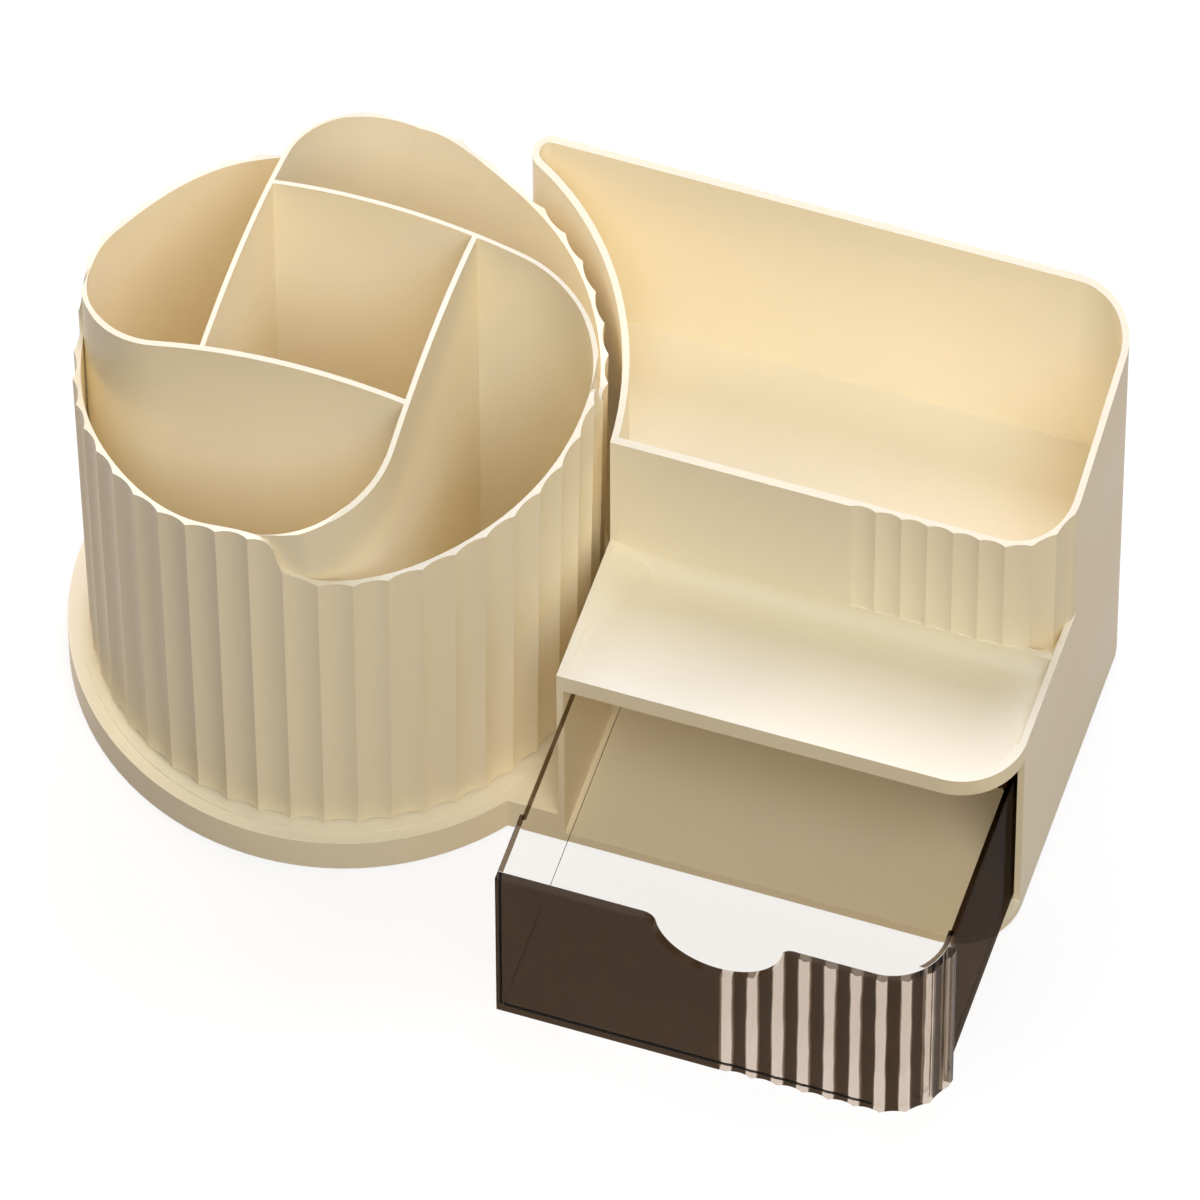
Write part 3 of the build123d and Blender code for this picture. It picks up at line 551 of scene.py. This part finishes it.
class ORGANIZER_OT_drawer(bpy.types.Operator):
    """Finish the see-through drawer: front, tray and floor"""

    bl_idname = "organizer.drawer"
    bl_label = "Drawer"

    def execute(self, context):
        finish = context.scene.organizer_finish
        smoke_and_painted_shade = tuple(finish.smoke_and_painted_shade)
        clear = tuple(finish.clear)
        painted_reflection_tint = tuple(finish.painted_reflection_tint)
        # The front: its own smoky tint, with pale stripes of painted reflection
        front = see_through_plastic("Fluted plastic", smoke_and_painted_shade, light_through=0.97,
                                    bending=1.1, mask=painted_reflection_stripes, masked=painted_reflection_tint)
        # Walls: clear, with the smoke painted on as shade towards the right and on top
        # edges
        walls = see_through_plastic("Wall plastic with painted shade", clear, light_through=0.99,
                                    bending=1.01, mask=painted_shade_ramp, masked=smoke_and_painted_shade)
        floor = see_through_plastic("Clear plastic", clear, light_through=1.0, bending=1.15)
        dress(("drawer_front",), front, finish.edge_softness)
        dress(("drawer_tray",), walls, finish.edge_softness)
        dress(("drawer_floor",), floor, finish.edge_softness / 2)
        return {"FINISHED"}


class ORGANIZER_OT_turntable(bpy.types.Operator):
    """Finish the turntable plate, the ball cage and the balls"""

    bl_idname = "organizer.turntable"
    bl_label = "Turntable"

    def execute(self, context):
        grey = moulded_plastic("Grey plastic", GREY_PLASTIC, roughness=0.5,
                               mottle=0.1, grain_height=0.00002)
        white = moulded_plastic("White plastic", WHITE_PLASTIC, roughness=0.45,
                                mottle=0.04, grain_height=0.00001)
        balls = steel("Ball steel", BALL_STEEL, roughness=0.12)
        dress(("turntable_plate",), grey, width=0.0002)
        dress(("ball_cage",), white, width=0.0002)
        dress(("bearing_balls",), balls, width=0.00002)
        return {"FINISHED"}


class ORGANIZER_OT_fixings(bpy.types.Operator):
    """Finish the screws, the washer and the rubber pads"""

    bl_idname = "organizer.fixings"
    bl_label = "Screws and pads"

    def execute(self, context):
        screws = steel("Screw steel", SCREW_STEEL, roughness=0.3)
        rubber = moulded_plastic("Pad rubber", PAD_RUBBER, roughness=0.8,
                                 mottle=0.15, grain_height=0.00004)
        dress(SCREW_NODES, screws, width=0.0001)
        dress(PAD_NODES, rubber, width=0.0002)
        return {"FINISHED"}


# Studio
def soft_lamp(name, power, azimuth, elevation, colour):
    """Square soft lamp that looks at the object; degrees from the front and up."""
    turn, rise = math.radians(azimuth), math.radians(elevation)
    toward = Vector((math.sin(turn) * math.cos(rise), -math.cos(turn) * math.cos(rise),
                     math.sin(rise)))
    data = bpy.data.lights.new(name, "AREA")
    data.shape = "SQUARE"
    data.size = LAMP_SIZE
    data.energy = power
    data.color = colour
    lamp = bpy.data.objects.new(name, data)
    lamp.location = LAMP_TARGET + toward * LAMP_DISTANCE
    lamp.rotation_mode = "QUATERNION"
    lamp.rotation_quaternion = toward.to_track_quat("Z", "Y")
    lamp.visible_camera = False
    bpy.context.scene.collection.objects.link(lamp)


def pale_floor(colour):
    """Wide floor: white to the eye, and a warm light from below for the object."""
    mesh = bpy.data.meshes.new("floor")
    corners = [(x * FLOOR_REACH, y * FLOOR_REACH, 0)
               for x, y in ((-1, -1), (1, -1), (1, 1), (-1, 1))]
    mesh.from_pydata(corners, [], [(0, 1, 2, 3)])
    floor = bpy.data.objects.new("floor", mesh)
    bpy.context.scene.collection.objects.link(floor)
    material, tree, shader = new_material("Floor")
    shader.inputs["Roughness"].default_value = FLOOR_ROUGHNESS
    shader.inputs["Specular IOR Level"].default_value = FLOOR_SPECULAR
    ray = tree.nodes.new("ShaderNodeLightPath").outputs
    direct = add_math(tree, "MAXIMUM", ray["Is Camera Ray"], ray["Is Glossy Ray"])
    direct = add_math(tree, "MAXIMUM", direct, ray["Is Transmission Ray"])
    warm = tuple(level * share for level, share in zip(colour, FLOOR_BOUNCE))
    tree.links.new(add_mix(tree, direct, warm, colour), shader.inputs["Base Color"])
    glow = tree.nodes.new("ShaderNodeEmission")
    glow.inputs["Color"].default_value = (1, 1, 1, 1)
    tree.links.new(add_math(tree, "MULTIPLY", direct, FLOOR_GLOW), glow.inputs["Strength"])
    both = tree.nodes.new("ShaderNodeAddShader")
    tree.links.new(shader.outputs[0], both.inputs[0])
    tree.links.new(glow.outputs[0], both.inputs[1])
    tree.links.new(both.outputs[0], tree.nodes["Material Output"].inputs["Surface"])
    mesh.materials.append(material)


def sky(strength):
    """Even light all round; the camera sees it white."""
    world = bpy.data.worlds.new("Studio")
    world.use_nodes = True
    tree = world.node_tree
    background = tree.nodes["Background"]
    background.inputs["Color"].default_value = SKY_COLOUR
    seen = tree.nodes.new("ShaderNodeLightPath")
    shown = tree.nodes.new("ShaderNodeBackground")
    shown.inputs["Color"].default_value = (1, 1, 1, 1)
    shown.inputs["Strength"].default_value = 1.0
    background.inputs["Strength"].default_value = strength
    both = tree.nodes.new("ShaderNodeMixShader")
    tree.links.new(seen.outputs["Is Camera Ray"], both.inputs[0])
    tree.links.new(background.outputs[0], both.inputs[1])
    tree.links.new(shown.outputs[0], both.inputs[2])
    tree.links.new(both.outputs[0], tree.nodes["World Output"].inputs["Surface"])
    bpy.context.scene.world = world


def photograph_camera():
    """Camera at the photograph's angle and distance."""
    azimuth = math.radians(CAMERA_AZIMUTH)
    elevation = math.radians(CAMERA_ELEVATION)
    roll = math.radians(CAMERA_ROLL)
    back = Vector((math.sin(azimuth) * math.cos(elevation),
                   -math.cos(azimuth) * math.cos(elevation), math.sin(elevation)))
    right = Vector((math.cos(azimuth), math.sin(azimuth), 0.0))
    up = back.cross(right)
    tilted_right = math.cos(roll) * right + math.sin(roll) * up
    tilted_up = math.cos(roll) * up - math.sin(roll) * right
    data = bpy.data.cameras.new("camera")
    data.sensor_fit = "HORIZONTAL"
    data.sensor_width = SENSOR_WIDTH
    data.lens = CAMERA_LENS
    data.clip_end = CAMERA_REACH
    camera = bpy.data.objects.new("camera", data)
    turn = Matrix((tilted_right, tilted_up, back)).transposed()
    place = Matrix.Translation(CAMERA_TARGET + back * CAMERA_DISTANCE)
    camera.matrix_world = place @ turn.to_4x4()
    bpy.context.scene.collection.objects.link(camera)
    bpy.context.scene.camera = camera


class ORGANIZER_OT_studio(bpy.types.Operator):
    """Set up the floor, the lamps, the sky and the camera"""

    bl_idname = "organizer.studio"
    bl_label = "Studio"

    def execute(self, context):
        studio = context.scene.organizer_studio
        soft_lamp("key", studio.key_strength, *KEY_LAMP)
        soft_lamp("back", studio.back_strength, *BACK_LAMP)
        soft_lamp("left", studio.left_strength, *LEFT_LAMP)
        soft_lamp("side", studio.side_strength, *SIDE_LAMP)
        pale_floor(tuple(studio.floor_colour))
        sky(studio.sky_strength)
        photograph_camera()
        context.scene.view_settings.view_transform = "Standard"
        context.scene.cycles.diffuse_bounces = DIFFUSE_BOUNCES
        return {"FINISHED"}


class ORGANIZER_PT_looks(bpy.types.Panel):
    """Buttons for the organizer's finishes and studio"""

    bl_label = "Organizer looks"
    bl_idname = "ORGANIZER_PT_looks"
    bl_space_type = "VIEW_3D"
    bl_region_type = "UI"
    bl_category = "Organizer"

    def draw(self, context):
        layout = self.layout
        finish = context.scene.organizer_finish
        studio = context.scene.organizer_studio
        for name in ("cream", "cream_roughness", "smoke_and_painted_shade", "clear", "painted_reflection_tint",
                     "edge_softness"):
            layout.prop(finish, name)
        for name in ("key_strength", "back_strength", "left_strength", "side_strength",
                     "sky_strength", "floor_colour"):
            layout.prop(studio, name)
        for step in STEPS:
            layout.operator(step.bl_idname)


STEPS = (ORGANIZER_OT_mouldings, ORGANIZER_OT_drawer, ORGANIZER_OT_turntable,
         ORGANIZER_OT_fixings, ORGANIZER_OT_studio)
CLASSES = (OrganizerFinish, OrganizerStudio, *STEPS, ORGANIZER_PT_looks)


def register():
    """Registers the classes and their settings on the scene."""
    for item in CLASSES:
        bpy.utils.register_class(item)
    bpy.types.Scene.organizer_finish = bpy.props.PointerProperty(type=OrganizerFinish)
    bpy.types.Scene.organizer_studio = bpy.props.PointerProperty(type=OrganizerStudio)


def unregister():
    """Takes the settings and classes away again."""
    del bpy.types.Scene.organizer_studio
    del bpy.types.Scene.organizer_finish
    for item in reversed(CLASSES):
        bpy.utils.unregister_class(item)


def main():
    register()
    bpy.ops.organizer.mouldings()
    bpy.ops.organizer.drawer()
    bpy.ops.organizer.turntable()
    bpy.ops.organizer.fixings()
    bpy.ops.organizer.studio()


if __name__ == "__main__":
    main()
